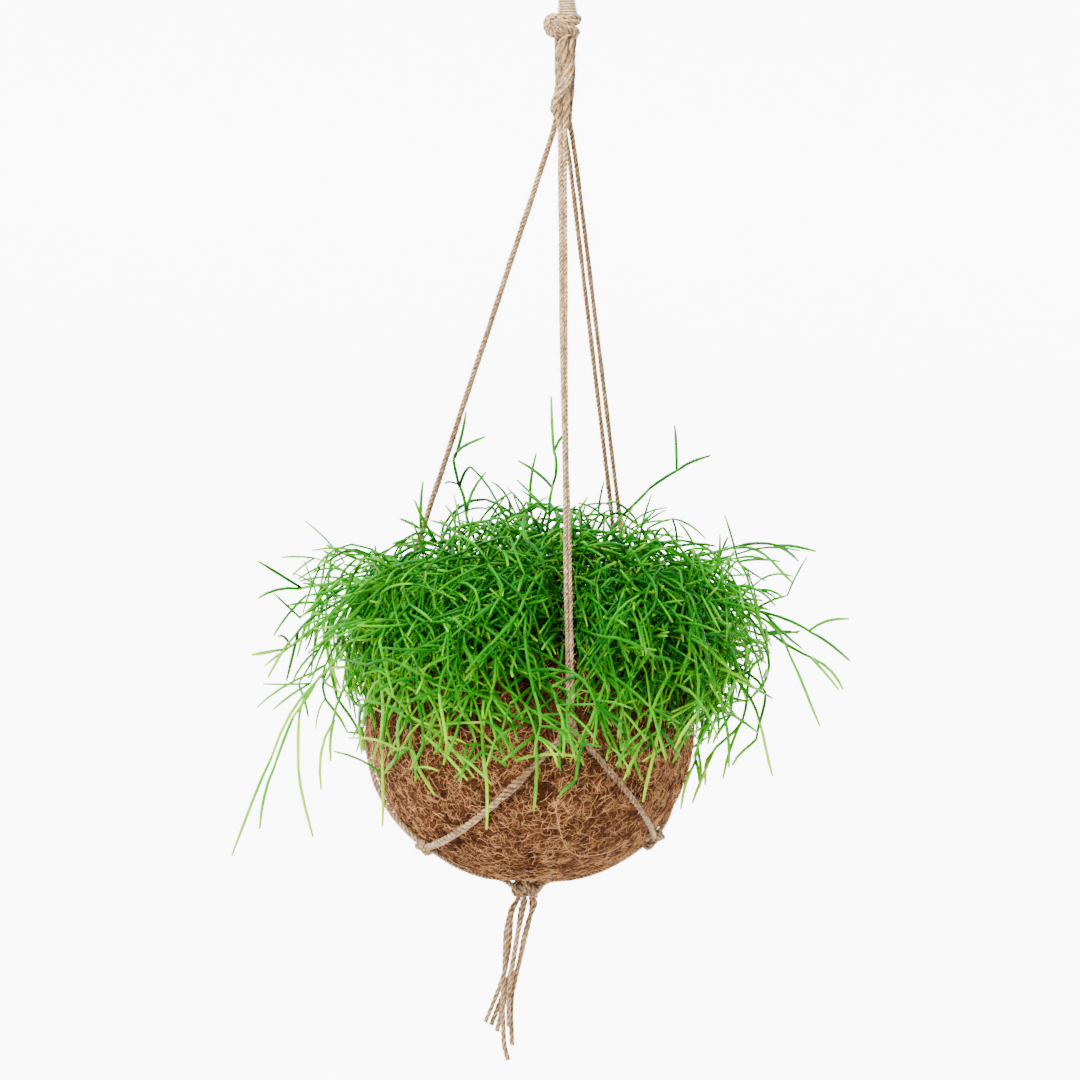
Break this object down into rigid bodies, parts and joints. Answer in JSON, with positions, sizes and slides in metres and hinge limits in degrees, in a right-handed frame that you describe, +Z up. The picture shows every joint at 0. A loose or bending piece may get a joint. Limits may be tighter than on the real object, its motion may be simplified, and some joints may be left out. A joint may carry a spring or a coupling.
{
  "type": "hanging kokedama plant",
  "caption": "Coir-wrapped soil ball with a mistletoe cactus, hung in a knotted jute cord hanger with a loop at its top and loose tails below.",
  "frame": {"origin": "the top of the eye of the hanging loop, where a hook carries it; the plumb line through it is the ball's axis", "axes": "+Z up along the plumb line, -Y towards the picture's camera, +X to the right"},
  "size_m": [0.3366, 0.2546, 0.643],
  "materials": {
    "jute": "matt twisted jute with loose fibres",
    "coir": "matt pressed coconut fibre",
    "soil": "matt crumbly soil",
    "stem_green": "soft satin, smooth green stems with paler tips"
  },
  "bodies": {
    "root": {"hanging_loop": "jute", "top_knot": "jute", "strand_front_a": "jute", "strand_front_b": "jute", "strand_back_right_a": "jute", "strand_back_right_b": "jute", "strand_left_a": "jute", "strand_left_b": "jute", "upper_knot_front": "jute", "upper_knot_back_right": "jute", "upper_knot_left": "jute", "slant_left_to_front_left": "jute", "slant_front_to_front_left": "jute", "slant_front_to_front_right": "jute", "slant_back_right_to_front_right": "jute", "slant_back_right_to_back": "jute", "slant_left_to_back": "jute", "lower_knot_front_left": "jute", "lower_knot_front_right": "jute", "lower_knot_back": "jute", "under_front_left_a": "jute", "under_front_left_b": "jute", "under_front_right_a": "jute", "under_front_right_b": "jute", "under_back_a": "jute", "under_back_b": "jute", "bottom_knot": "jute", "tail_long": "jute", "tail_right": "jute", "tail_front": "jute", "tail_left": "jute", "tail_back": "jute", "tail_back_right": "jute", "coir_wrap": "coir", "soil_ball": "soil", "stems_left_high": "stem_green", "stems_left_low": "stem_green", "stems_left_middle": "stem_green", "stems_left_front": "stem_green", "stems_left_top": "stem_green", "stems_top_left": "stem_green", "stems_top_front": "stem_green", "stems_top_right": "stem_green", "stems_top_back": "stem_green", "stems_right_high": "stem_green", "stems_right_middle": "stem_green", "stems_right_side": "stem_green", "stems_right_low": "stem_green", "stems_right_front": "stem_green", "stems_front_right": "stem_green", "stems_front_middle": "stem_green", "stems_front_left": "stem_green", "stems_front_far_left": "stem_green", "stems_front_top": "stem_green", "stems_front_top_left": "stem_green", "stems_back_left": "stem_green", "stems_back_left_low": "stem_green", "stems_back": "stem_green", "stems_back_right_low": "stem_green", "stems_back_right": "stem_green"}
  },
  "joints": []
}
